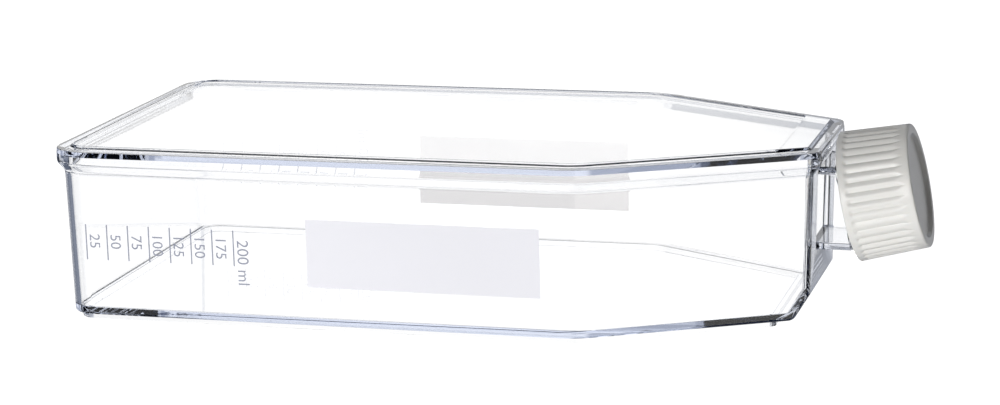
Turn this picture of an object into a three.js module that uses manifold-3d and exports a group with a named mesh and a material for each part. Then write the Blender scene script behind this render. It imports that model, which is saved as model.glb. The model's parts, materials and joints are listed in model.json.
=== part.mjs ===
// Cell culture flask, 175 cm2 growth area: a clear tub moulded in one piece with its canted
// neck, a clear top plate welded to the tub's flange, and a ribbed screw cap.
// Millimetres, +Z up. The flask lies on its growth surface and +X points towards the neck.
// While it is built, x = 0 is the rear face of the flange and z = 0 is the underside of the
// foot. The finished group is moved so that its origin is the centre of its own footprint.

import * as THREE from 'three';
import { mergeVertices } from 'three/addons/utils/BufferGeometryUtils.js';
import Module from 'manifold-3d';

const wasm = await Module();
wasm.setup();

// ---------------------------------------------------------------- driving dimensions
// Outline of the flange, seen from above.
const FLANGE_LENGTH = 197.4;
const FLANGE_WIDTH = 109.2;
const STRAIGHT_LENGTH = 141.5;      // rear face to where the sides turn in
const FRONT_WIDTH = 45.6;           // across the flange at the neck end
const REAR_CORNER_RADIUS = 10;
const BEND_RADIUS = 20;
const FRONT_CORNER_RADIUS = 5.5;

// Tub.
const FOOT_HEIGHT = 1.6;
const FOOT_WIDTH = 1.4;
const FLOOR_THICKNESS = 1.8;
const WALL_THICKNESS = 1.5;
const WALL_HEIGHT = 38.6;           // growth surface to the underside of the flange
const WALL_DRAFT = THREE.MathUtils.degToRad(1.3);
const FLANGE_OVERHANG = 2.3;        // flange edge to the wall below it
const REAR_DRAFT = THREE.MathUtils.degToRad(1.6);
const REAR_OVERHANG = 1.85;
const FRONT_OVERHANG = 2.1;
const FLANGE_HEIGHT = 2.2;
const HAUNCH_HEIGHT = 2.4;          // sloping underside that carries the flange
const HAUNCH_ROUND = 0.9;
const FLANGE_ROUND = 0.6;
const FLOOR_EDGE_ROUND = 0.9;
const FLOOR_FILLET = 0.5;
const FOOT_ROUND = 0.3;
const RAMP_RUN = 3.8;               // the front wall's foot slopes, so that liquid pours out
const RAMP_RISE = 6.4;
const PAD_LENGTH = 7.2;             // pads under the flange, where the ejectors push
const PAD_DEPTH = 0.35;
const PAD_FIRST = 20.0;             // rear face to the middle of the first pad
const PAD_PITCH = 55;
const PAD_COUNT = 3;

// Top plate.
const PLATE_THICKNESS = 1.8;
const RECESS_DEPTH = 0.95;          // the foot of the flask above stands in this recess
const RIM_HEIGHT = 2.2;             // weld line to the crest of the rim
const RIM_WIDTH = 5.2;              // flange edge to the recess
const REAR_RIM_WIDTH = 4.6;
const SHOULDER_INSET = 0.15;
const SHOULDER_HEIGHT = 1.5;
const SHOULDER_ROUND = 0.25;
const FRONT_SHOULDER_INSET = 0.3;
const RIDGE_WIDTH = 1.0;            // the ridge round the recess stands on this shoulder
const FRONT_RIDGE_INSET = 2.6;
const CREST_WIDTH = 0.45;
const CREST_ROUND = 0.15;
const FRONT_STRIP = 10.9;           // flange edge to the recess at the neck end
const FRONT_SLOPE = 3.6;            // part of the front strip that slopes down
const RECESS_DRAFT = 0.05;
const RECESS_FILLET = 0.15;
const STACK_CLEARANCE = 0.2;        // foot to recess wall, all round
const PLUG_CLEARANCE = 0.3;         // top plate's slab to the tub's walls

// Neck. Its axis rises towards the mouth.
const NECK_TILT = THREE.MathUtils.degToRad(11.5);
const NECK_REACH = 4.7;             // flange edge to the cap's open end, on the axis
const NECK_AXIS_HEIGHT = 26.4;      // growth surface to the axis, at the cap's open end
const NECK_RADIUS = 12.8;
const NECK_WALL = 1.6;
const ROOT_HALF_WIDTH = 11.8;
const ROOT_FLOOR = 14.4;            // growth surface to the underside of the square root
const ROOT_TOP = 36.2;
const ROOT_CORNER_RADIUS = 1.6;
const ROOT_STRAIGHT = 2.4;          // upright square stretch, before it cants
const ROOT_END_GAP = 0.8;           // end of the square stretch to the cap's open end
const LIP_CHAMFER = 0.4;

// Screw cap.
const CAP_LENGTH = 18.5;
const CAP_OPEN_RADIUS = 17.1;
const CAP_TOP_RADIUS = 16.2;
const CAP_WALL = 2.0;
const CAP_TOP_THICKNESS = 1.3;
const CAP_RECESS_RADIUS = 13.6;
const CAP_RECESS_DEPTH = 1.0;
const CAP_EDGE_ROUND = 0.5;
const CAP_SEAT_CLEARANCE = 0.3;     // neck lip to the inside of the cap's top
const RIB_COUNT = 40;
const RIB_DEPTH = 0.5;
const RIB_START = 1.9;              // smooth band at the open end
const RIB_END = 1.5;                // smooth band at the top
const RIB_RUNOUT = 2.2;             // length over which the grooves fade out
const SEAL_LENGTH = 3.0;            // ring inside the cap that seals in the bore
const SEAL_WALL = 1.0;
const SEAL_CLEARANCE = 0.3;

// Smoothness of the rounded parts.
const REAR_CORNER_STEPS = 12;
const BEND_STEPS = 5;
const FRONT_CORNER_STEPS = 8;
const EDGE_STEPS = 3;
const QUADRANT_STEPS = 12;
const POINTS_PER_RIB = 6;
const OVERCUT = 1;                  // how far a cutting solid runs past the face it opens

// ---------------------------------------------------------------- levels that follow
const FLOOR_UNDERSIDE = FOOT_HEIGHT;
const FLOOR_TOP = FLOOR_UNDERSIDE + FLOOR_THICKNESS;
const FLANGE_UNDERSIDE = FLOOR_TOP + WALL_HEIGHT;
const FLANGE_TOP = FLANGE_UNDERSIDE + FLANGE_HEIGHT;
const RIM_CREST = FLANGE_TOP + RIM_HEIGHT;
const RECESS_FLOOR = RIM_CREST - RECESS_DEPTH;
const TAPER_ANGLE = Math.atan2((FLANGE_WIDTH - FRONT_WIDTH) / 2, FLANGE_LENGTH - STRAIGHT_LENGTH);

// ---------------------------------------------------------------- solids and meshes
function solid(geometry) {
  const bare = geometry.index ? geometry.toNonIndexed() : geometry.clone();
  bare.deleteAttribute('normal');
  bare.deleteAttribute('uv');
  const merged = mergeVertices(bare, 1e-5);
  return new wasm.Manifold(new wasm.Mesh({
    numProp: 3,
    vertProperties: new Float32Array(merged.attributes.position.array),
    triVerts: new Uint32Array(merged.index.array),
  }));
}

function meshOf(name, body, material) {
  const { vertProperties, triVerts } = body.getMesh();
  const geometry = new THREE.BufferGeometry();
  geometry.setAttribute('position', new THREE.BufferAttribute(vertProperties, 3));
  geometry.setIndex(new THREE.BufferAttribute(triVerts, 1));
  const mesh = new THREE.Mesh(geometry.toNonIndexed(), material);
  mesh.geometry.computeVertexNormals();
  mesh.name = name;
  return mesh;
}

// Skins a row of convex closed sections that all have the same number of points. Each
// section runs anticlockwise seen from the end of the row, looking back to its start.
function loft(sections) {
  const count = sections[0].length;
  const positions = sections.flat().flatMap((point) => point.toArray());
  const index = [];
  for (let level = 0; level < sections.length - 1; level++) {
    for (let i = 0; i < count; i++) {
      const a = level * count + i;
      const b = level * count + (i + 1) % count;
      index.push(a, b, b + count, a, b + count, a + count);
    }
  }
  const last = (sections.length - 1) * count;
  for (let i = 1; i < count - 1; i++) {
    index.push(0, i + 1, i);
    index.push(last, last + i, last + i + 1);
  }
  const geometry = new THREE.BufferGeometry();
  geometry.setAttribute('position', new THREE.Float32BufferAttribute(positions, 3));
  geometry.setIndex(index);
  return geometry;
}

// ---------------------------------------------------------------- plan outline
// Points of an arc that rounds one corner of an anticlockwise outline.
function roundedCorner(before, corner, after, radius, steps) {
  const towardsBefore = before.clone().sub(corner).normalize();
  const towardsAfter = after.clone().sub(corner).normalize();
  const halfAngle = Math.acos(THREE.MathUtils.clamp(towardsBefore.dot(towardsAfter), -1, 1)) / 2;
  const middle = towardsBefore.clone().add(towardsAfter).normalize();
  const centre = corner.clone().addScaledVector(middle, radius / Math.sin(halfAngle));
  const turn = Math.PI - 2 * halfAngle;
  const start = corner.clone()
    .addScaledVector(towardsBefore, radius / Math.tan(halfAngle))
    .sub(centre);
  const points = [];
  for (let i = 0; i <= steps; i++) {
    points.push(start.clone().rotateAround(new THREE.Vector2(), turn * i / steps).add(centre));
  }
  return points;
}

// The flask's outline at height z, moved in from the flange's edge by one distance for the
// sides, one for the rear and one for the neck end.
function planSection(sideInset, rearInset, frontInset, z) {
  const halfWidth = FLANGE_WIDTH / 2 - sideInset;
  const bendX = STRAIGHT_LENGTH - sideInset * Math.tan(TAPER_ANGLE / 2);
  const frontX = FLANGE_LENGTH - frontInset;
  const frontHalf = halfWidth - (frontX - bendX) * Math.tan(TAPER_ANGLE);
  const corners = [
    [rearInset, -halfWidth, REAR_CORNER_RADIUS, REAR_CORNER_STEPS],
    [bendX, -halfWidth, BEND_RADIUS, BEND_STEPS],
    [frontX, -frontHalf, FRONT_CORNER_RADIUS, FRONT_CORNER_STEPS],
    [frontX, frontHalf, FRONT_CORNER_RADIUS, FRONT_CORNER_STEPS],
    [bendX, halfWidth, BEND_RADIUS, BEND_STEPS],
    [rearInset, halfWidth, REAR_CORNER_RADIUS, REAR_CORNER_STEPS],
  ];
  const place = (i) => {
    const [x, y] = corners[(i + corners.length) % corners.length];
    return new THREE.Vector2(x, y);
  };
  return corners.flatMap(([, , radius, steps], i) => {
    const offsetRadius = Math.max(radius - sideInset, radius / 4);
    return roundedCorner(place(i - 1), place(i), place(i + 1), offsetRadius, steps)
      .map((point) => new THREE.Vector3(point.x, point.y, z));
  });
}

// Skins a side profile that runs round the whole outline. Each of its points gives the insets
// at the sides, the rear and the neck end, a height, and how far its corner is softened.
function profileLoft(profile) {
  const corners = profile.map((point) => new THREE.Vector4(...point.slice(0, 4)));
  const towards = (i, j, reach) => {
    const way = corners[j].clone().sub(corners[i]);
    return corners[i].clone().addScaledVector(way, reach / Math.hypot(way.x, way.w));
  };
  const levels = corners.flatMap((corner, i) => {
    const reach = profile[i][4];
    if (!reach) return [corner];
    const [start, end] = [towards(i, i - 1, reach), towards(i, i + 1, reach)];
    return Array.from({ length: EDGE_STEPS + 1 }, (_, step) => {
      const share = step / EDGE_STEPS;
      return start.clone().lerp(corner, share).lerp(corner.clone().lerp(end, share), share);
    });
  });
  return solid(loft(levels.map((level) => planSection(...level.toArray()))));
}

// Distances from the flange's edge in to the wall's outer face at height z: at the sides, at
// the rear, and at the neck end, where the foot of the wall slopes back to a given height.
function wallInset(z) {
  return FLANGE_OVERHANG + (FLANGE_UNDERSIDE - z) * Math.tan(WALL_DRAFT);
}

function rearWallInset(z) {
  return REAR_OVERHANG + (FLANGE_UNDERSIDE - z) * Math.tan(REAR_DRAFT);
}

function frontWallInset(z, rampFoot) {
  const wall = wallInset(z) - FLANGE_OVERHANG + FRONT_OVERHANG;
  const climbed = THREE.MathUtils.clamp((z - rampFoot) / RAMP_RISE, 0, 1);
  return wall + RAMP_RUN * (1 - climbed);
}

// All three, with the same distance added to each.
function wallInsets(z, rampFoot, thickness) {
  return [wallInset(z), rearWallInset(z), frontWallInset(z, rampFoot)]
    .map((inset) => inset + thickness);
}

// ---------------------------------------------------------------- neck
const neckAxis = new THREE.Vector3(Math.cos(NECK_TILT), 0, Math.sin(NECK_TILT));
const capSeat = new THREE.Vector3(FLANGE_LENGTH + NECK_REACH, 0, FLOOR_TOP + NECK_AXIS_HEIGHT);
const neckLength = CAP_LENGTH - CAP_RECESS_DEPTH - CAP_TOP_THICKNESS - CAP_SEAT_CLEARANCE;

// A round-cornered rectangle across the neck. It is a circle when both half sizes equal
// the corner radius.
function neckSection(centre, tilt, halfWidth, halfHeight, radius) {
  const up = new THREE.Vector3(-Math.sin(tilt), 0, Math.cos(tilt));
  const across = new THREE.Vector3(0, 1, 0);
  const points = [];
  for (let i = 0; i < 4 * QUADRANT_STEPS; i++) {
    const angle = (i + 0.5) * Math.PI / 2 / QUADRANT_STEPS;
    const y = Math.sign(Math.cos(angle)) * (halfWidth - radius) + radius * Math.cos(angle);
    const z = Math.sign(Math.sin(angle)) * (halfHeight - radius) + radius * Math.sin(angle);
    points.push(centre.clone().addScaledVector(across, y).addScaledVector(up, z));
  }
  return points;
}

function onNeckAxis(distance) {
  return capSeat.clone().addScaledVector(neckAxis, distance);
}

// The outside when wall is 0, and the passage inside when it is the wall's thickness.
function neckPassage(startX, endDistance, wall, lip) {
  const rootHalfHeight = (ROOT_TOP - ROOT_FLOOR) / 2 - wall;
  const rootMiddle = FLOOR_TOP + (ROOT_TOP + ROOT_FLOOR) / 2;
  const rootRadius = Math.max(ROOT_CORNER_RADIUS - wall, ROOT_CORNER_RADIUS / 3);
  const squareEnd = FLANGE_LENGTH - FRONT_OVERHANG + ROOT_STRAIGHT;
  const square = (x) => neckSection(
    new THREE.Vector3(x, 0, rootMiddle), 0, ROOT_HALF_WIDTH - wall, rootHalfHeight, rootRadius);
  const lead = ROOT_END_GAP + (rootMiddle - capSeat.z) * Math.sin(NECK_TILT);
  const canted = neckSection(
    new THREE.Vector3(capSeat.x - lead / Math.cos(NECK_TILT), 0, rootMiddle), NECK_TILT,
    ROOT_HALF_WIDTH - wall, rootHalfHeight / Math.cos(NECK_TILT), rootRadius);
  const round = (distance, radius) => neckSection(
    onNeckAxis(distance), NECK_TILT, radius, radius, radius);
  const radius = NECK_RADIUS - wall;
  return solid(loft([
    square(startX),
    square(squareEnd),
    canted,
    round(LIP_CHAMFER, radius),
    round(endDistance - lip, radius),
    round(endDistance, radius - lip),
  ]));
}

// ---------------------------------------------------------------- flask body
function flaskBody() {
  const wallAt = (z, rampFoot, thickness, softening) => [
    ...wallInsets(z, rampFoot, thickness), z, softening,
  ];
  const flatAt = (z, thickness, softening) => wallAt(z, z, thickness + 2 * softening, 0);
  const outside = profileLoft([
    flatAt(FLOOR_UNDERSIDE, 0, FLOOR_EDGE_ROUND),
    wallAt(FLOOR_UNDERSIDE, FLOOR_UNDERSIDE, 0, FLOOR_EDGE_ROUND),
    wallAt(FLOOR_UNDERSIDE + RAMP_RISE, FLOOR_UNDERSIDE, 0, 0),
    wallAt(FLANGE_UNDERSIDE - HAUNCH_HEIGHT, FLOOR_UNDERSIDE, 0, HAUNCH_ROUND),
    [0, 0, 0, FLANGE_UNDERSIDE, FLANGE_ROUND],
    [0, 0, 0, FLANGE_TOP, 0],
  ]);
  const inside = profileLoft([
    flatAt(FLOOR_TOP, WALL_THICKNESS, FLOOR_FILLET),
    wallAt(FLOOR_TOP, FLOOR_TOP, WALL_THICKNESS, FLOOR_FILLET),
    wallAt(FLOOR_TOP + RAMP_RISE, FLOOR_TOP, WALL_THICKNESS, 0),
    wallAt(FLANGE_TOP + OVERCUT, FLOOR_TOP, WALL_THICKNESS, 0),
  ]);

  const wallMiddle = FLANGE_LENGTH - frontWallInset(FLOOR_TOP + ROOT_FLOOR, FLOOR_TOP) - WALL_THICKNESS / 2;
  const neck = neckPassage(wallMiddle, neckLength, 0, LIP_CHAMFER);
  const bore = neckPassage(wallMiddle - WALL_THICKNESS - OVERCUT, neckLength + OVERCUT, NECK_WALL, 0);

  return ejectorPads().reduce((tub, pad) => tub.add(pad), outside)
    .subtract(inside).add(footRing()).add(neck).subtract(bore);
}

// Thin pads on the haunch under both long edges of the flange.
function ejectorPads() {
  const haunchFoot = FLANGE_UNDERSIDE - HAUNCH_HEIGHT;
  const wall = wallInset(haunchFoot) + WALL_THICKNESS / 2;
  const edge = FLANGE_ROUND / 2;
  const section = new THREE.Shape([
    new THREE.Vector2(edge, FLANGE_UNDERSIDE - PAD_DEPTH),
    new THREE.Vector2(wall, haunchFoot - PAD_DEPTH),
    new THREE.Vector2(wall, FLANGE_UNDERSIDE + FLANGE_HEIGHT / 2),
    new THREE.Vector2(edge, FLANGE_UNDERSIDE + FLANGE_HEIGHT / 2),
  ]);
  const pads = [];
  for (let i = 0; i < PAD_COUNT; i++) {
    for (const turn of [Math.PI / 2, -Math.PI / 2]) {
      pads.push(solid(new THREE.ExtrudeGeometry(section, { depth: PAD_LENGTH, bevelEnabled: false })
        .translate(-FLANGE_WIDTH / 2, 0, -PAD_LENGTH / 2)
        .rotateX(Math.PI / 2)
        .rotateZ(turn)
        .translate(PAD_FIRST + i * PAD_PITCH, 0, 0)));
    }
  }
  return pads;
}

// From the flange's edge to the recess in the top plate, and to the ring that stands in it.
const recessEdge = [RIM_WIDTH, REAR_RIM_WIDTH, FRONT_STRIP];
const recessFoot = recessEdge.map((inset) => inset + RECESS_DRAFT);
const ringEdge = recessFoot.map((inset) => inset + STACK_CLEARANCE);

// The ring under the floor that stands in the top plate of the flask below.
function footRing() {
  const outside = profileLoft([
    [...ringEdge.map((inset) => inset + 2 * FOOT_ROUND), 0, 0],
    [...ringEdge, 0, FOOT_ROUND],
    [...ringEdge, FLOOR_UNDERSIDE + FLOOR_THICKNESS / 2, 0],
  ]);
  const inner = ringEdge.map((inset) => inset + FOOT_WIDTH);
  return outside.subtract(profileLoft([[...inner, -OVERCUT, 0], [...inner, FLOOR_UNDERSIDE, 0]]));
}

// ---------------------------------------------------------------- top plate
function topPlate() {
  const crest = [RIM_WIDTH - CREST_WIDTH, REAR_RIM_WIDTH - CREST_WIDTH, FRONT_SLOPE];
  const shoulder = FLANGE_TOP + SHOULDER_HEIGHT;
  const rim = profileLoft([
    [0, 0, 0, FLANGE_TOP, 0],
    [SHOULDER_INSET, SHOULDER_INSET, FRONT_SHOULDER_INSET, shoulder, SHOULDER_ROUND],
    [RIM_WIDTH - RIDGE_WIDTH, REAR_RIM_WIDTH - RIDGE_WIDTH, FRONT_RIDGE_INSET, shoulder,
      CREST_ROUND],
    [...crest, RIM_CREST, CREST_ROUND],
    [...crest.map((inset) => inset + 2 * CREST_ROUND), RIM_CREST, 0],
  ]);
  const lip = recessEdge.map((inset) => inset - CREST_ROUND);
  const recess = profileLoft([
    [...recessFoot.map((inset) => inset + 2 * RECESS_FILLET), RECESS_FLOOR, 0],
    [...recessFoot, RECESS_FLOOR, RECESS_FILLET],
    [...recessEdge, RIM_CREST - CREST_ROUND, 0],
    [...lip, RIM_CREST, 0],
    [...lip, RIM_CREST + OVERCUT, 0],
  ]);
  const slabEdge = wallInsets(FLANGE_TOP, FLOOR_TOP, WALL_THICKNESS + PLUG_CLEARANCE);
  const slab = profileLoft([
    [...slabEdge, RECESS_FLOOR - PLATE_THICKNESS, 0],
    [...slabEdge, (FLANGE_TOP + RECESS_FLOOR) / 2, 0],
  ]);
  return rim.subtract(recess).add(slab);
}

// ---------------------------------------------------------------- screw cap
// Built on +Z, with its open end at z = 0.
function capRadius(z) {
  return THREE.MathUtils.lerp(CAP_OPEN_RADIUS, CAP_TOP_RADIUS, z / CAP_LENGTH);
}

function capRing(z, grooveDepth, trim) {
  const count = RIB_COUNT * POINTS_PER_RIB;
  const points = [];
  for (let i = 0; i < count; i++) {
    const angle = 2 * Math.PI * i / count;
    const rib = Math.abs(Math.sin(RIB_COUNT * angle / 2));
    const radius = capRadius(z) - trim - grooveDepth * (1 - rib);
    points.push(new THREE.Vector3(radius * Math.cos(angle), radius * Math.sin(angle), z));
  }
  return points;
}

function screwCap() {
  const grip = solid(loft([
    capRing(0, 0, CAP_EDGE_ROUND / 2),
    capRing(CAP_EDGE_ROUND, 0, 0),
    capRing(RIB_START, 0, 0),
    capRing(RIB_START + RIB_DEPTH, RIB_DEPTH, 0),
    capRing(CAP_LENGTH - RIB_END - RIB_RUNOUT, RIB_DEPTH, 0),
    capRing(CAP_LENGTH - RIB_END, 0, 0),
    capRing(CAP_LENGTH - CAP_EDGE_ROUND, 0, 0),
    capRing(CAP_LENGTH, 0, CAP_EDGE_ROUND),
  ]));

  const ceiling = CAP_LENGTH - CAP_RECESS_DEPTH - CAP_TOP_THICKNESS;
  const sealRadius = NECK_RADIUS - NECK_WALL - SEAL_CLEARANCE;
  const hollow = solid(new THREE.LatheGeometry([
    new THREE.Vector2(0, -OVERCUT),
    new THREE.Vector2(CAP_OPEN_RADIUS - CAP_WALL, -OVERCUT),
    new THREE.Vector2(CAP_OPEN_RADIUS - CAP_WALL, 0),
    new THREE.Vector2(CAP_TOP_RADIUS - CAP_WALL, ceiling),
    new THREE.Vector2(sealRadius, ceiling),
    new THREE.Vector2(sealRadius, ceiling - SEAL_LENGTH),
    new THREE.Vector2(sealRadius - SEAL_WALL, ceiling - SEAL_LENGTH),
    new THREE.Vector2(sealRadius - SEAL_WALL, ceiling),
    new THREE.Vector2(0, ceiling),
  ], 4 * QUADRANT_STEPS).rotateX(Math.PI / 2));
  const recess = solid(new THREE.CylinderGeometry(
    CAP_RECESS_RADIUS, CAP_RECESS_RADIUS - CAP_RECESS_DEPTH / 2, CAP_RECESS_DEPTH, 4 * QUADRANT_STEPS)
    .rotateX(Math.PI / 2)
    .translate(0, 0, CAP_LENGTH - CAP_RECESS_DEPTH / 2));
  return grip.subtract(hollow).subtract(recess);
}

// ---------------------------------------------------------------- assembly
const clearPolystyrene = new THREE.MeshStandardMaterial({
  color: 0xe9f0f6, roughness: 0.06, metalness: 0, transparent: true, opacity: 0.4,
});
const plateFinish = clearPolystyrene.clone();
plateFinish.color.set(0xdde7f0);
const ivoryPolyethylene = new THREE.MeshStandardMaterial({
  color: 0xe3e1d9, roughness: 0.55, metalness: 0,
});

const body = meshOf('flask_body', flaskBody(), clearPolystyrene);
const plate = meshOf('top_plate', topPlate(), plateFinish);
const cap = meshOf('screw_cap', screwCap(), ivoryPolyethylene);
cap.position.copy(capSeat);
cap.rotation.y = Math.PI / 2 - NECK_TILT;

const flask = new THREE.Group();
flask.add(body, plate, cap);
flask.updateMatrixWorld(true);
const footprint = new THREE.Box3().setFromObject(flask, true);
flask.position.x = -(footprint.min.x + footprint.max.x) / 2;

export default flask;
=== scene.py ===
"""Cell culture flask: clear moulded polystyrene, ribbed polyethylene cap, screen-printed scales.

The flask lies on its growth surface on a luminous table. Every size is in metres and comes
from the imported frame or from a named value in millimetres.
"""

from __future__ import annotations

import json
import logging
import math
from dataclasses import dataclass
from enum import Enum

import bmesh
import bpy
from mathutils import Matrix, Vector


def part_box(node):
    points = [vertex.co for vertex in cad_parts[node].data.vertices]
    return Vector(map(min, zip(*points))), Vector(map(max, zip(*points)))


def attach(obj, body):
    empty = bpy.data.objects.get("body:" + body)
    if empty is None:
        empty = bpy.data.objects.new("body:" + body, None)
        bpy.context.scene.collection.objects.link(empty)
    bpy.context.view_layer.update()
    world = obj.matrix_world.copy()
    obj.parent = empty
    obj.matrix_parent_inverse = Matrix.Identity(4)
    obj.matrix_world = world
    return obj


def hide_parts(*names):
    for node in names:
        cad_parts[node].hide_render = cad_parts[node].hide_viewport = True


log = logging.getLogger("culture_flask")

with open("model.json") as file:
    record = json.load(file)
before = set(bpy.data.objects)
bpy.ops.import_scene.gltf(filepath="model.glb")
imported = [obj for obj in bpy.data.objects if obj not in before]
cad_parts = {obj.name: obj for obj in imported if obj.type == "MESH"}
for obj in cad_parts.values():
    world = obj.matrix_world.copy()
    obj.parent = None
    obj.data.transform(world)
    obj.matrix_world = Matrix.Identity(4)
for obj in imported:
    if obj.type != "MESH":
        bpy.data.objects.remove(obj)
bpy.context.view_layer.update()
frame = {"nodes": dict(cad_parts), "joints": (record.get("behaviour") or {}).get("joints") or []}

MM = 0.001
REAR_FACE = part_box("flask_body")[0][0]


# ------------------------------------------------------------------ shared helpers


def linear(hex_colour: str, alpha: float = 1.0) -> tuple[float, float, float, float]:
    """Turn an sRGB hex colour into linear RGBA.

    Args:
        hex_colour: six hex digits, with or without a leading hash.
        alpha: fourth channel of the result.

    Returns:
        The linear colour as four floats.
    """
    digits = hex_colour.lstrip("#")
    channels = [int(digits[i : i + 2], 16) / 255 for i in (0, 2, 4)]
    decoded = [c / 12.92 if c <= 0.04045 else ((c + 0.055) / 1.055) ** 2.4 for c in channels]
    return (*decoded, alpha)


def add_node(
    tree: bpy.types.NodeTree,
    kind: str,
    settings: dict[str, object] | None = None,
    inputs: dict[str | int, object] | None = None,
) -> bpy.types.Node:
    """Add one shader node with its settings and its links or values.

    Args:
        tree: the node tree that gets the node.
        kind: the node's type name.
        settings: attributes of the node, by name.
        inputs: sockets by name or index, each with a value or another node's output.

    Returns:
        The new node.
    """
    node = tree.nodes.new(kind)
    for name, value in (settings or {}).items():
        setattr(node, name, value)
    for key, value in (inputs or {}).items():
        socket = node.inputs[key]
        if isinstance(value, bpy.types.NodeSocket):
            tree.links.new(value, socket)
        else:
            socket.default_value = value
    return node


def maths(
    tree: bpy.types.NodeTree,
    operation: str,
    first: float | bpy.types.NodeSocket,
    second: float | bpy.types.NodeSocket,
) -> bpy.types.NodeSocket:
    """Work out one value from two others."""
    return add_node(tree, "ShaderNodeMath", {"operation": operation}, {0: first, 1: second}).outputs[0]


def blend(
    tree: bpy.types.NodeTree,
    factor: bpy.types.NodeSocket,
    low: float | bpy.types.NodeSocket,
    high: float | bpy.types.NodeSocket,
) -> bpy.types.NodeSocket:
    """Blend two values by a factor."""
    inputs = {"Factor": factor, "A": low, "B": high}
    return add_node(tree, "ShaderNodeMix", {"data_type": "FLOAT"}, inputs).outputs["Result"]


@dataclass(frozen=True)
class Grain:
    """The fine, even relief that a mould or a printing mesh leaves on a surface."""

    pitch_mm: float
    detail: float
    strength: float
    depth_mm: float

    def normal(self, tree: bpy.types.NodeTree) -> bpy.types.NodeSocket:
        """Build the relief.

        Args:
            tree: the material's node tree.

        Returns:
            The socket with the roughened normal.
        """
        place = add_node(tree, "ShaderNodeTexCoord")
        inputs = {
            "Vector": place.outputs["Object"],
            "Scale": 1 / (self.pitch_mm * MM),
            "Detail": self.detail,
        }
        noise = add_node(tree, "ShaderNodeTexNoise", inputs=inputs)
        relief = add_node(
            tree,
            "ShaderNodeBump",
            inputs={
                "Height": noise.outputs["Fac"],
                "Strength": self.strength,
                "Distance": self.depth_mm * MM,
            },
        )
        return relief.outputs["Normal"]


def blank_material(name: str) -> bpy.types.Material:
    """Make a material whose node tree is empty."""
    material = bpy.data.materials.new(name)
    material.use_nodes = True
    material.node_tree.nodes.clear()
    return material


def object_from(
    name: str, mesh: bmesh.types.BMesh, material: bpy.types.Material
) -> bpy.types.Object:
    """Turn a finished bmesh into a linked object with one material.

    Args:
        name: the piece's name.
        mesh: the finished shape, in place and in metres. It is freed here.
        material: the piece's finish.

    Returns:
        The linked object, at the origin.
    """
    data = bpy.data.meshes.new(name)
    mesh.to_mesh(data)
    mesh.free()
    piece = bpy.data.objects.new(name, data)
    bpy.context.scene.collection.objects.link(piece)
    data.materials.append(material)
    return piece


def shade_smooth(mesh: bpy.types.Mesh, degrees: float) -> None:
    """Shade a mesh smooth, but keep edges sharper than an angle crisp.

    Args:
        mesh: the mesh to shade.
        degrees: the largest angle between faces that is still blended.
    """
    shape = bmesh.new()
    shape.from_mesh(mesh)
    for face in shape.faces:
        face.smooth = True
    for edge in shape.edges:
        edge.smooth = edge.calc_face_angle(math.pi) < math.radians(degrees)
    shape.to_mesh(mesh)
    shape.free()


def applied(piece: bpy.types.Object) -> bpy.types.Mesh:
    """Give the mesh that a piece's modifiers make, and leave the piece as it is."""
    graph = bpy.context.evaluated_depsgraph_get()
    return bpy.data.meshes.new_from_object(
        piece.evaluated_get(graph), preserve_all_data_layers=True, depsgraph=graph
    )


def apply_modifiers(piece: bpy.types.Object) -> None:
    """Make the result of a piece's modifiers its own mesh."""
    piece.data = applied(piece)
    piece.modifiers.clear()


def arc(
    centre: tuple[float, float], radius: float, start: float, end: float, steps: int
) -> list[tuple[float, float]]:
    """Give the points of an arc in a side profile.

    Args:
        centre: the arc's centre, as distance from the axis and height.
        radius: the arc's radius.
        start: the first point's angle in degrees, 0 being away from the axis.
        end: the last point's angle in degrees.
        steps: how many straight pieces the arc has.

    Returns:
        The points, as distance from the axis and height.
    """
    angles = [math.radians(start + (end - start) * i / steps) for i in range(steps + 1)]
    return [(centre[0] + radius * math.cos(a), centre[1] + radius * math.sin(a)) for a in angles]


# ------------------------------------------------------------------ finishes


@dataclass(frozen=True)
class ClearPolystyrene:
    """General-purpose polystyrene, injection moulded in a polished mould.

    To the eye it is water-clear with a high gloss. Only edges, where the light has passed
    through a long stretch of plastic, show a cool blue-grey. Light from the lamps passes
    through its thin walls on the way to matte surfaces.
    """

    ior: float = 1.59
    roughness: float = 0.0
    tint: str = "#FFFFFF"
    absorbed: str = "#7F9FD6"
    absorption_per_metre: float = 4.5
    shadow: str = "#F6F7FA"

    def material(self) -> bpy.types.Material:
        """Build the node material.

        Returns:
            The finished material.
        """
        material = blank_material("clear_polystyrene")
        tree = material.node_tree
        surface = add_node(
            tree,
            "ShaderNodeBsdfPrincipled",
            inputs={
                "Base Color": linear(self.tint),
                "Roughness": self.roughness,
                "IOR": self.ior,
                "Transmission Weight": 1.0,
            },
        )
        path = add_node(tree, "ShaderNodeLightPath")
        lets_pass = maths(tree, "MAXIMUM", path.outputs["Is Shadow Ray"], path.outputs["Is Diffuse Ray"])
        clear = add_node(tree, "ShaderNodeBsdfTransparent", inputs={"Color": linear(self.shadow)})
        mix = add_node(
            tree,
            "ShaderNodeMixShader",
            inputs={0: lets_pass, 1: surface.outputs["BSDF"], 2: clear.outputs[0]},
        )
        volume = add_node(
            tree,
            "ShaderNodeVolumeAbsorption",
            inputs={"Color": linear(self.absorbed), "Density": self.absorption_per_metre},
        )
        add_node(
            tree,
            "ShaderNodeOutputMaterial",
            inputs={"Surface": mix.outputs[0], "Volume": volume.outputs["Volume"]},
        )
        return material


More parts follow.
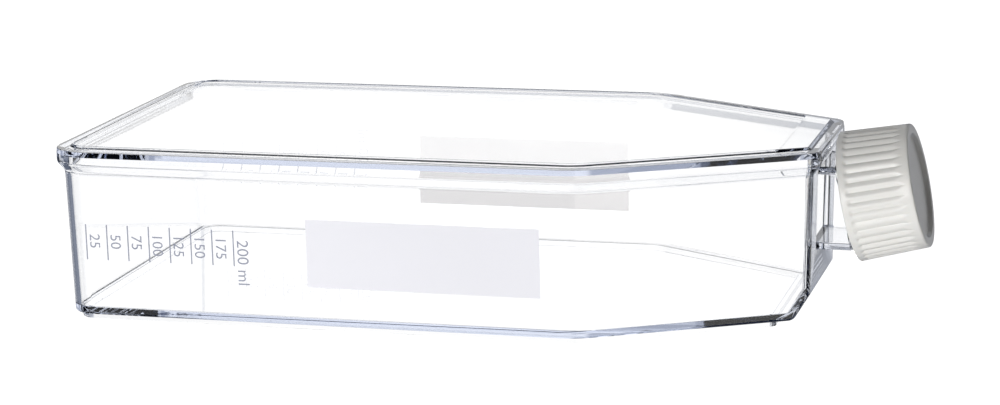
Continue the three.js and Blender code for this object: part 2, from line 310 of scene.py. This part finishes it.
@dataclass(frozen=True)
class IvoryPolyethylene:
    """High-density polyethylene, injection moulded, pigmented ivory white.

    It has a waxy satin skin: broad soft highlights, a little light carried under the
    surface, and a fine orange-peel from the mould.
    """

    colour: str = "#E9E8E4"
    roughness: float = 0.3
    ior: float = 1.54
    specular_level: float = 0.28
    depth_of_colour: float = 0.15
    depth_of_colour_mm: tuple[float, float, float] = (1.0, 0.9, 0.8)
    orange_peel: Grain = Grain(pitch_mm=0.6, detail=3.0, strength=0.06, depth_mm=0.05)

    def material(self) -> bpy.types.Material:
        """Build the node material.

        Returns:
            The finished material.
        """
        material = blank_material("ivory_polyethylene")
        tree = material.node_tree
        surface = add_node(
            tree,
            "ShaderNodeBsdfPrincipled",
            inputs={
                "Base Color": linear(self.colour),
                "Roughness": self.roughness,
                "IOR": self.ior,
                "Specular IOR Level": self.specular_level,
                "Subsurface Weight": self.depth_of_colour,
                "Subsurface Radius": [depth * MM for depth in self.depth_of_colour_mm],
                "Normal": self.orange_peel.normal(tree),
            },
        )
        add_node(tree, "ShaderNodeOutputMaterial", inputs={"Surface": surface.outputs["BSDF"]})
        return material


@dataclass(frozen=True)
class ScreenInk:
    """Matte screen-printing ink on polystyrene, thin enough that light shows through."""

    name: str
    colour: str
    cover: float
    let_through: float
    roughness: float = 0.7
    mesh_mark: Grain = Grain(pitch_mm=0.4, detail=2.0, strength=0.1, depth_mm=0.02)

    def material(self) -> bpy.types.Material:
        """Build the node material.

        Returns:
            The finished material.
        """
        material = blank_material(self.name)
        tree = material.node_tree
        surface = add_node(
            tree,
            "ShaderNodeBsdfPrincipled",
            inputs={
                "Base Color": linear(self.colour),
                "Roughness": self.roughness,
                "Alpha": self.cover,
                "Normal": self.mesh_mark.normal(tree),
            },
        )
        through = add_node(tree, "ShaderNodeBsdfTranslucent", inputs={"Color": linear(self.colour)})
        mix = add_node(
            tree,
            "ShaderNodeMixShader",
            inputs={0: self.let_through, 1: surface.outputs["BSDF"], 2: through.outputs[0]},
        )
        add_node(tree, "ShaderNodeOutputMaterial", inputs={"Surface": mix.outputs[0]})
        return material


# ------------------------------------------------------------------ clear flask


@dataclass
class ClearShell:
    """The tub with its neck, and the plate welded on top of it, as one clear body."""

    finish: ClearPolystyrene
    weld_bead_mm: float = 0.4
    slab_depth_mm: float = 0.9
    rim_gap_mm: float = 0.1
    crease_degrees: float = 32.0
    merge_distance_mm: float = 0.001
    flat_degrees: float = 0.2
    steepest_side: float = 0.1

    def cleaned_copy(self, node: str) -> bmesh.types.BMesh:
        """Copy a CAD node and merge its loose triangles into clean faces.

        Args:
            node: the CAD node's name.

        Returns:
            The merged mesh.
        """
        shape = bmesh.new()
        shape.from_mesh(frame["nodes"][node].data)
        bmesh.ops.remove_doubles(shape, verts=shape.verts, dist=self.merge_distance_mm * MM)
        bmesh.ops.dissolve_limit(
            shape, angle_limit=math.radians(self.flat_degrees), verts=shape.verts, edges=shape.edges
        )
        return shape

    def run_weld_bead(self, plate: bmesh.types.BMesh) -> None:
        """Let the plate's slab melt into the tub's wall, as welding does.

        Args:
            plate: the top plate's mesh, whose slab is widened.
        """
        low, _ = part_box("top_plate")
        slab_top = low[2] + self.slab_depth_mm * MM
        sides = [
            face
            for face in plate.faces
            if abs(face.normal.z) < self.steepest_side and max(vert.co.z for vert in face.verts) < slab_top
        ]
        outwards: dict[bmesh.types.BMVert, Vector] = {}
        for face in sides:
            for vert in face.verts:
                outwards[vert] = outwards.get(vert, Vector()) + face.normal
        for vert, direction in outwards.items():
            direction.z = 0
            vert.co += direction.normalized() * self.weld_bead_mm * MM

    def lift_rim(self, plate: bmesh.types.BMesh) -> None:
        """Leave the thin gap that shows as a line between rim and flange, outside the bead.

        Args:
            plate: the top plate's mesh, whose rim is lifted.
        """
        flange_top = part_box("flask_body")[1][2]
        for vert in plate.verts:
            if abs(vert.co.z - flange_top) < self.rim_gap_mm * MM / 2:
                vert.co.z += self.rim_gap_mm * MM

    def build(self) -> bpy.types.Object:
        """Weld the plate to the tub and shade the result.

        Returns:
            The clear shell.
        """
        material = self.finish.material()
        shell = object_from("clear_shell", self.cleaned_copy("flask_body"), material)
        plate_shape = self.cleaned_copy("top_plate")
        self.run_weld_bead(plate_shape)
        self.lift_rim(plate_shape)
        plate = object_from("plate_copy", plate_shape, material)
        weld = shell.modifiers.new("weld", "BOOLEAN")
        weld.operation = "UNION"
        weld.solver = "EXACT"
        weld.object = plate
        apply_modifiers(shell)
        bpy.data.objects.remove(plate)
        shade_smooth(shell.data, self.crease_degrees)
        level = shell.modifiers.new("level_normals", "WEIGHTED_NORMAL")
        level.keep_sharp = True
        level.weight = 100
        apply_modifiers(shell)
        shell.data.materials.clear()
        shell.data.materials.append(material)
        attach(shell, "flask")
        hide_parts("flask_body", "top_plate")
        return shell


# ------------------------------------------------------------------ screw cap


@dataclass
class ScrewCap:
    """The ribbed one-piece cap, turned up on the joint's axis and seated on the neck."""

    finish: IvoryPolyethylene
    length: float = 18.5
    open_radius: float = 17.1
    top_radius: float = 16.2
    wall: float = 2.0
    top_thickness: float = 1.3
    recess_radius: float = 13.6
    recess_depth: float = 1.0
    recess_taper: float = 0.5
    recess_fillet: float = 0.35
    lip_round: float = 0.25
    edge_round: float = 0.5
    mouth_round: float = 0.3
    ribs: int = 40
    rib_depth: float = 0.55
    rib_start: float = 1.9
    rib_end: float = 1.5
    rib_rise: float = 0.5
    rib_runout: float = 2.6
    runout_widening: float = 0.7
    runout_fade: float = 1.8
    crest_round: float = 0.12
    groove_sharpness: float = 1.35
    seal_radius: float = 10.9
    seal_length: float = 3.0
    seal_wall: float = 1.0
    points_per_rib: int = 16
    skirt_rows: int = 40
    first_row_gap: float = 0.05
    merge_distance: float = 0.0001
    crease_degrees: float = 50.0

    def radius_at(self, height: float) -> float:
        """Give the skirt's radius over the ribs' crests at a height above the open end."""
        return self.open_radius + (self.top_radius - self.open_radius) * height / self.length

    def profile(self) -> list[tuple[float, float]]:
        """Draw the cap's closed section, from the middle of its top round to its ceiling.

        Returns:
            Points as distance from the axis and height, in millimetres.
        """
        top = self.length
        edge = self.edge_round
        floor = top - self.recess_depth
        ceiling = floor - self.top_thickness
        fillet = self.recess_fillet
        lip = self.lip_round
        recess_foot = self.recess_radius - self.recess_taper - fillet
        points = [(0.0, floor), (self.recess_radius / 2, floor)]
        points += arc((recess_foot, floor + fillet), fillet, -90, -15, steps=4)
        points += arc((self.recess_radius + lip, top - lip), lip, 165, 90, steps=4)
        points += arc((self.radius_at(top) - edge, top - edge), edge, 90, 2, steps=6)
        skirt_top = top - edge - self.first_row_gap
        for row in range(self.skirt_rows + 1):
            height = skirt_top + (edge - skirt_top) * row / self.skirt_rows
            points.append((self.radius_at(height), height))
        points += arc((self.open_radius - edge, edge), edge, -15, -90, steps=4)
        mouth = self.mouth_round
        points += arc((self.open_radius - self.wall + mouth, mouth), mouth, -90, -180, steps=3)
        points += [(self.top_radius - self.wall, ceiling), (self.seal_radius, ceiling)]
        points += [(self.seal_radius, ceiling - self.seal_length)]
        points += [(self.seal_radius - self.seal_wall, ceiling - self.seal_length)]
        points += [(self.seal_radius - self.seal_wall, ceiling), (0.0, ceiling)]
        return points

    def groove_depth(self, angle: float, height: float) -> float:
        """Give how far the skirt is cut in at a place.

        Args:
            angle: turn about the cap's axis, in radians.
            height: height above the open end, in millimetres.

        Returns:
            The depth below the ribs' crests, in millimetres.
        """
        top = self.length - self.rib_end
        if not self.rib_start < height < top:
            return 0.0
        entry = min((height - self.rib_start) / self.rib_rise, 1.0)
        runout = min((top - height) / self.rib_runout, 1.0)
        turn = self.ribs * angle / math.tau
        from_crest = 2 * abs(turn - round(turn))
        across = math.hypot(from_crest, self.crest_round) - self.crest_round
        across = max(across - (1 - runout) * self.runout_widening, 0.0) ** self.groove_sharpness
        fade = min(runout * self.runout_fade, 1.0)
        return self.rib_depth * math.sqrt(entry) * fade * across

    def build(self) -> bpy.types.Object:
        """Spin the section, cut the grooves and seat the cap.

        Returns:
            The cap.
        """
        shape = bmesh.new()
        verts = [shape.verts.new((r, 0.0, z)) for r, z in self.profile()]
        edges = [shape.edges.new(pair) for pair in zip(verts, verts[1:])]
        bmesh.ops.spin(
            shape,
            geom=[*verts, *edges],
            cent=(0, 0, 0),
            axis=(0, 0, 1),
            dvec=(0, 0, 0),
            angle=math.tau,
            steps=self.ribs * self.points_per_rib,
            use_merge=True,
            use_normal_flip=False,
            use_duplicate=False,
        )
        bmesh.ops.remove_doubles(shape, verts=shape.verts, dist=self.merge_distance)
        for vert in shape.verts:
            reach = vert.co.xy.length
            if reach > self.top_radius - self.wall / 2:
                depth = self.groove_depth(math.atan2(vert.co.y, vert.co.x), vert.co.z)
                vert.co.xy *= (reach - depth) / reach
        bmesh.ops.recalc_face_normals(shape, faces=shape.faces)
        joint = next(joint for joint in frame["joints"] if joint["name"] == "cap_turn")
        seat = Matrix.Translation(Vector(joint["pos_m"]))
        lean = Vector((0, 0, 1)).rotation_difference(Vector(joint["axis"])).to_matrix().to_4x4()
        bmesh.ops.transform(shape, matrix=seat @ lean @ Matrix.Scale(MM, 4), verts=shape.verts)
        cap = object_from("ribbed_cap", shape, self.finish.material())
        shade_smooth(cap.data, self.crease_degrees)
        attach(cap, "cap")
        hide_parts("screw_cap")
        return cap


# ------------------------------------------------------------------ side print


class Side(Enum):
    """A long side wall of the flask, by the direction in which it faces."""

    NEAR = -1
    FAR = 1


@dataclass
class SidePrint:
    """What is screen-printed outside on both long walls: a writing field and a volume scale.

    The scale reads with the flask stood on its rear end, with the neck up. All sizes are in
    millimetres, lengths are counted from the flange's rear face and heights from the table.
    """

    field_ink: ScreenInk
    scale_inks: dict[Side, ScreenInk]
    half_width: float = 54.6
    wall_inset: float = 2.3
    wall_top: float = 42.0
    draft_degrees: float = 1.3
    film: float = 0.03
    field_start: float = 69.9
    field_length: float = 61.5
    field_bottom: float = 11.9
    field_height: float = 17.9
    first_mark: float = 9.5
    mark_pitch: float = 5.81
    marks: int = 8
    mark_step_ml: int = 25
    mark_bottom: float = 16.6
    mark_length: float = 9.5
    mark_width: float = 0.36
    figure_gap: float = 0.95
    figure_height: float = 2.85
    last_figure_height: float = 3.1
    figure_offset: float = 2.6
    figure_resolution: int = 4
    field_cuts: int = 3

    def on_wall(self, side: Side, along: float, height: float) -> Vector:
        """Find the place on a side wall's outer face.

        Args:
            side: which wall.
            along: distance from the flange's rear face, in millimetres.
            height: height above the table, in millimetres.

        Returns:
            The place in metres, in the shared frame.
        """
        inset = self.wall_inset + (self.wall_top - height) * math.tan(math.radians(self.draft_degrees))
        across = side.value * (self.half_width - inset + self.film)
        return Vector((REAR_FACE + along * MM, across * MM, height * MM))

    def wrap(self, shape: bmesh.types.BMesh, side: Side) -> None:
        """Lay a drawing in the XY plane onto a wall, X along the flask and Y up.

        Args:
            shape: the drawing, in millimetres, facing +Z.
            side: which wall gets it.
        """
        for vert in shape.verts:
            vert.co = self.on_wall(side, vert.co.x, vert.co.y)
        if side is Side.FAR:
            bmesh.ops.reverse_faces(shape, faces=shape.faces)

    def rectangle(
        self, shape: bmesh.types.BMesh, along: float, bottom: float, length: float, height: float
    ) -> None:
        """Add one filled rectangle to a drawing."""
        place = Matrix.Translation((along + length / 2, bottom + height / 2, 0))
        size = Matrix.Diagonal((length, height, 1, 1))
        bmesh.ops.create_grid(shape, x_segments=1, y_segments=1, size=0.5, matrix=place @ size)

    def figure(self, text: str, height: float) -> bpy.types.Mesh:
        """Set a number in plain type, scaled to a height.

        Args:
            text: what it says.
            height: the figures' height in millimetres.

        Returns:
            A flat mesh whose lower left corner is the origin.
        """
        line = bpy.data.curves.new("figure", "FONT")
        line.body = text
        line.resolution_u = self.figure_resolution
        holder = bpy.data.objects.new("figure", line)
        bpy.context.scene.collection.objects.link(holder)
        mesh = applied(holder)
        bpy.data.objects.remove(holder)
        low = [min(vert.co[axis] for vert in mesh.vertices) for axis in (0, 1)]
        high = max(vert.co.y for vert in mesh.vertices)
        scale = height / (high - low[1])
        mesh.transform(Matrix.Scale(scale, 4) @ Matrix.Translation((-low[0], -low[1], 0)))
        return mesh

    def writing_field(self, side: Side) -> bpy.types.Object:
        """Print the pale field that takes notes.

        Args:
            side: which wall gets it.

        Returns:
            The field.
        """
        shape = bmesh.new()
        self.rectangle(shape, self.field_start, self.field_bottom, self.field_length, self.field_height)
        bmesh.ops.subdivide_edges(shape, edges=shape.edges, cuts=self.field_cuts, use_grid_fill=True)
        self.wrap(shape, side)
        return self.printed(f"writing_field_{side.name.lower()}", shape, self.field_ink)

    def volume_scale(self, side: Side) -> bpy.types.Object:
        """Print the volume marks with their numbers.

        Args:
            side: which wall gets them.

        Returns:
            The scale.
        """
        shape = bmesh.new()
        reading = -side.value
        middle = self.mark_bottom + self.mark_length / 2
        for number in range(self.marks):
            along = self.first_mark + number * self.mark_pitch
            self.rectangle(
                shape, along - self.mark_width / 2, self.mark_bottom, self.mark_width, self.mark_length
            )
            last = number == self.marks - 1
            text = str((number + 1) * self.mark_step_ml) + (" ml" if last else "")
            mesh = self.figure(text, self.last_figure_height if last else self.figure_height)
            start = middle + reading * (self.mark_length / 2 - self.figure_offset)
            turn = Matrix(
                ((0, 1, 0, along + self.figure_gap), (-reading, 0, 0, start), (0, 0, 1, 0), (0, 0, 0, 1))
            )
            mesh.transform(turn)
            shape.from_mesh(mesh)
        self.wrap(shape, side)
        return self.printed(f"volume_scale_{side.name.lower()}", shape, self.scale_inks[side])

    def printed(self, name: str, shape: bmesh.types.BMesh, ink: ScreenInk) -> bpy.types.Object:
        """Finish one printed piece in its ink.

        Args:
            name: the piece's name.
            shape: the print, laid on its wall.
            ink: what it is printed with.

        Returns:
            The printed piece.
        """
        piece = object_from(name, shape, ink.material())
        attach(piece, "flask")
        return piece

    def build(self) -> list[bpy.types.Object]:
        """Print both walls.

        Returns:
            The printed pieces.
        """
        pieces = []
        for side in Side:
            pieces.append(self.writing_field(side))
            pieces.append(self.volume_scale(side))
        return pieces


# ------------------------------------------------------------------ studio


@dataclass(frozen=True)
class LightBand:
    """How bright the surroundings are round one belt of directions.

    The belt starts at a height, which is the upward part of a unit direction. Its levels belong
    to the sectors between the studio's sector bounds.
    """

    start: float
    levels: tuple[float, ...]


@dataclass(frozen=True)
class SoftLight:
    """A far, large lamp that only matte surfaces answer to.

    Clear plastic takes its light from the bands, so this lamp leaves it alone.
    """

    name: str
    towards: tuple[float, float, float]
    strength: float
    spread_degrees: float

    def build(self, lit: list[bpy.types.Object]) -> bpy.types.Object:
        """Hang the lamp.

        Args:
            lit: the only pieces that it lights.

        Returns:
            The lamp.
        """
        data = bpy.data.lights.new(self.name, "SUN")
        data.energy = self.strength * math.pi
        data.angle = math.radians(self.spread_degrees)
        lamp = bpy.data.objects.new(self.name, data)
        lamp.rotation_euler = (-Vector(self.towards)).to_track_quat("-Z", "Y").to_euler()
        bpy.context.scene.collection.objects.link(lamp)
        lamp.light_linking.receiver_collection = bpy.data.collections.new(self.name)
        for piece in lit:
            lamp.light_linking.receiver_collection.objects.link(piece)
        return lamp


@dataclass
class Studio:
    """A luminous pale table in a room of dark and bright bands, soft lamps, and the camera.

    Clear plastic shows only what it bends light from, so the bands draw its edges. Their levels
    come from a least-squares fit to the tones that the edges should have. Light that goes
    straight through, or past the flask, meets the table's tone from every side, and light that
    a matte surface gathers from the room has a level of its own.
    """

    azimuth_degrees: float = -15.126
    elevation_degrees: float = 12.486
    roll_degrees: float = 1.041
    distance_mm: float = 767.5
    aim_mm: tuple[float, float, float] = (-4.26, 0.0, 24.39)
    lens_mm: float = 102.667
    sensor_mm: float = 36.0
    clip_metres: tuple[float, float] = (0.01, 100.0)
    table_half_size_mm: float = 6000.0
    table_drop_mm: float = 0.2
    table_light: float = 1.15
    walls_crossed: float = 3.5
    sector_bounds: tuple[float, ...] = (-120, -75, -45, -25, -14, -6, 6, 14, 25, 45, 75, 120)
    sector_blur_degrees: float = 1.5
    band_blur: float = 0.02
    matte_light: float = 0.12
    cap_lamps: tuple[SoftLight, ...] = (
        SoftLight("key_softbox", (-0.23, -0.96, 0.05), 0.63, 24.0),
        SoftLight("low_softbox", (-0.04, -0.64, -0.79), 0.33, 50.0),
        SoftLight("rear_softbox", (-0.5, 0.85, -0.3), 0.55, 30.0),
    )
    print_lamps: tuple[SoftLight, ...] = (
        SoftLight("front_softbox", (-0.2, -0.95, -0.25), 0.86, 50.0),
        SoftLight("back_softbox", (-0.2, 0.95, -0.2), 1.3, 50.0),
    )
    brightest: float = 4.0
    clear_bounces: int = 24
    gloss_bounces: int = 16
    shade_tint: str = "#A6BAE4"
    bands: tuple[LightBand, ...] = (
        LightBand(-1.00, (0.07, 0.88, 0.1, 0.32, 0.4, 0.4, 0.17, 0.07, 0.41, 0.52, 0.43, 0.67, 0.19)),
        LightBand(-0.45, (0.8, 0.13, 0.37, 0.25, 0.6, 0.97, 1.03, 1, 0.68, 0.9, 0.9, 0.1, 1.31)),
        LightBand(-0.12, (0.09, 0.07, 0.32, 0.71, 0.65, 0.5, 0.94, 0.07, 0.56, 0.88, 0.99, 0.26, 0.86)),
        LightBand(0.12, (1.37, 0.07, 0.2, 0.61, 0.72, 1.16, 1.12, 0.85, 0.67, 1.19, 0.21, 0.48, 0.22)),
        LightBand(0.30, (1.09, 0.07, 0.21, 0.2, 1.54, 0.52, 1.24, 0.3, 0.55, 1.24, 0.9, 0.33, 0.07)),
        LightBand(0.50, (0.07, 0.14, 0.35, 0.36, 1.27, 0.97, 1.26, 0.71, 1.49, 0.17, 0.15, 0.25, 0.07)),
        LightBand(0.75, (0.16, 0.87, 1.58, 1.26, 0.64, 0.6, 0.56, 0.58, 0.51, 1.3, 1.21, 0.34, 0.07)),
    )

    def camera(self) -> bpy.types.Object:
        """Place the camera at its viewing angle.

        Returns:
            The camera object.
        """
        data = bpy.data.cameras.new("camera")
        data.sensor_width = self.sensor_mm
        data.lens = self.lens_mm
        data.clip_start, data.clip_end = self.clip_metres
        camera = bpy.data.objects.new("camera", data)
        bpy.context.scene.collection.objects.link(camera)
        azimuth = math.radians(self.azimuth_degrees)
        elevation = math.radians(self.elevation_degrees)
        forward = Vector(
            (
                math.sin(azimuth) * math.cos(elevation),
                math.cos(azimuth) * math.cos(elevation),
                -math.sin(elevation),
            )
        )
        camera.location = Vector(self.aim_mm) * MM - forward * self.distance_mm * MM
        turn = forward.to_track_quat("-Z", "Y").to_matrix()
        roll = Matrix.Rotation(math.radians(self.roll_degrees), 3, forward)
        camera.rotation_euler = (roll @ turn).to_euler()
        bpy.context.scene.camera = camera
        return camera

    def straight(self, tree: bpy.types.NodeTree) -> bpy.types.NodeSocket:
        """Tell light that reaches the eye unturned, past the flask or through both its walls.

        Args:
            tree: the node tree that asks.

        Returns:
            A socket that is 1 for such light and 0 for the rest.
        """
        path = add_node(tree, "ShaderNodeLightPath")
        unturned = maths(tree, "LESS_THAN", path.outputs["Glossy Depth"], 0.5)
        through = maths(tree, "GREATER_THAN", path.outputs["Transmission Depth"], self.walls_crossed)
        undiffused = maths(tree, "LESS_THAN", path.outputs["Diffuse Depth"], 0.5)
        through = maths(tree, "MULTIPLY", through, unturned)
        through = maths(tree, "MULTIPLY", through, undiffused)
        return maths(tree, "MAXIMUM", through, path.outputs["Is Camera Ray"])

    def table(self) -> bpy.types.Object:
        """Lay the pale luminous table under the flask.

        Returns:
            The table.
        """
        material = blank_material("luminous_table")
        tree = material.node_tree
        glow = add_node(tree, "ShaderNodeEmission", inputs={"Strength": self.table_light})
        clear = add_node(tree, "ShaderNodeBsdfTransparent")
        mix = add_node(
            tree,
            "ShaderNodeMixShader",
            inputs={0: self.straight(tree), 1: clear.outputs[0], 2: glow.outputs[0]},
        )
        add_node(tree, "ShaderNodeOutputMaterial", inputs={"Surface": mix.outputs[0]})
        shape = bmesh.new()
        bmesh.ops.create_grid(shape, x_segments=1, y_segments=1, size=self.table_half_size_mm * MM)
        table = object_from("table", shape, material)
        table.location.z = -self.table_drop_mm * MM
        return table

    def belt(
        self, tree: bpy.types.NodeTree, turn: bpy.types.NodeSocket, band: LightBand
    ) -> bpy.types.NodeSocket:
        """Give one band's brightness, in parts of the brightest, round the whole turn.

        Args:
            tree: the world's node tree.
            turn: the direction's azimuth, from 0 to 1 for a full turn.
            band: the band.

        Returns:
            The brightness socket.
        """
        ramp = add_node(tree, "ShaderNodeValToRGB", inputs={"Fac": turn})
        stops = ramp.color_ramp.elements
        grey = [(level / self.brightest,) * 3 + (1.0,) for level in band.levels]
        stops[0].position, stops[0].color = 0.0, grey[0]
        stops[1].position, stops[1].color = 1.0, grey[-1]
        blur = self.sector_blur_degrees
        for bound, before, after in zip(self.sector_bounds, grey, grey[1:]):
            stops.new((bound - blur + 180) / 360).color = before
            stops.new((bound + blur + 180) / 360).color = after
        return ramp.outputs["Color"]

    def surroundings(self) -> None:
        """Build the room's light as a function of direction alone."""
        scene = bpy.context.scene
        world = bpy.data.worlds.new("studio")
        scene.world = world
        world.use_nodes = True
        tree = world.node_tree
        tree.nodes.clear()
        place = add_node(tree, "ShaderNodeTexCoord")
        turned = add_node(
            tree,
            "ShaderNodeVectorRotate",
            {"rotation_type": "Z_AXIS"},
            {"Vector": place.outputs["Generated"], "Angle": math.radians(self.azimuth_degrees)},
        )
        split = add_node(tree, "ShaderNodeSeparateXYZ", inputs={0: turned.outputs[0]})
        azimuth = maths(tree, "ARCTAN2", split.outputs["X"], split.outputs["Y"])
        turn = maths(tree, "ADD", maths(tree, "DIVIDE", azimuth, math.tau), 0.5)
        level = self.belt(tree, turn, self.bands[0])
        for band in self.bands[1:]:
            above = add_node(
                tree,
                "ShaderNodeMapRange",
                {"interpolation_type": "SMOOTHSTEP"},
                {
                    "Value": split.outputs["Z"],
                    "From Min": band.start - self.band_blur,
                    "From Max": band.start + self.band_blur,
                },
            )
            level = blend(tree, above.outputs["Result"], level, self.belt(tree, turn, band))
        level = maths(tree, "MULTIPLY", level, self.brightest)
        path = add_node(tree, "ShaderNodeLightPath")
        matte = maths(tree, "GREATER_THAN", path.outputs["Diffuse Depth"], 0.5)
        straight = self.straight(tree)
        whiteness = maths(tree, "MAXIMUM", level, matte)
        whiteness = maths(tree, "MAXIMUM", whiteness, straight)
        level = blend(tree, matte, level, self.matte_light)
        level = blend(tree, straight, level, self.table_light)
        tint = add_node(
            tree,
            "ShaderNodeMix",
            {"data_type": "RGBA"},
            {"Factor": whiteness, "A": linear(self.shade_tint), "B": linear("#FFFFFF")},
        )
        glow = add_node(
            tree, "ShaderNodeBackground", inputs={"Color": tint.outputs["Result"], "Strength": level}
        )
        add_node(tree, "ShaderNodeOutputWorld", inputs={"Surface": glow.outputs["Background"]})
        scene.view_settings.view_transform = "Standard"
        scene.cycles.max_bounces = self.clear_bounces
        scene.cycles.transmission_bounces = self.clear_bounces
        scene.cycles.glossy_bounces = self.gloss_bounces
        scene.cycles.transparent_max_bounces = self.clear_bounces


def main() -> None:
    """Build the flask and its surroundings, in order."""
    logging.basicConfig(level=logging.INFO, format="%(message)s")
    studio = Studio()
    studio.camera()
    studio.table()
    studio.surroundings()
    shell = ClearShell(ClearPolystyrene()).build()
    cap = ScrewCap(IvoryPolyethylene()).build()
    prints = SidePrint(
        field_ink=ScreenInk("white_writing_ink", "#E8E5E2", 0.96, 0.5),
        scale_inks={
            Side.NEAR: ScreenInk("grey_scale_ink", "#8A8C96", 0.85, 0.5),
            # painted back light: the far scale's ink is a paler, more see-through copy of the near scale's
            # grey ink, standing in for the light that shines through the far print from behind
            Side.FAR: ScreenInk("backlit_pale_scale_ink", "#B4B6BE", 0.3, 0.5),
        },
    ).build()
    for lamp in studio.cap_lamps:
        lamp.build([cap])
    for lamp in studio.print_lamps:
        lamp.build(prints)
    for piece in (shell, cap, *prints):
        log.info("%s: %d faces", piece.name, len(piece.data.polygons))


if __name__ == "__main__":
    main()
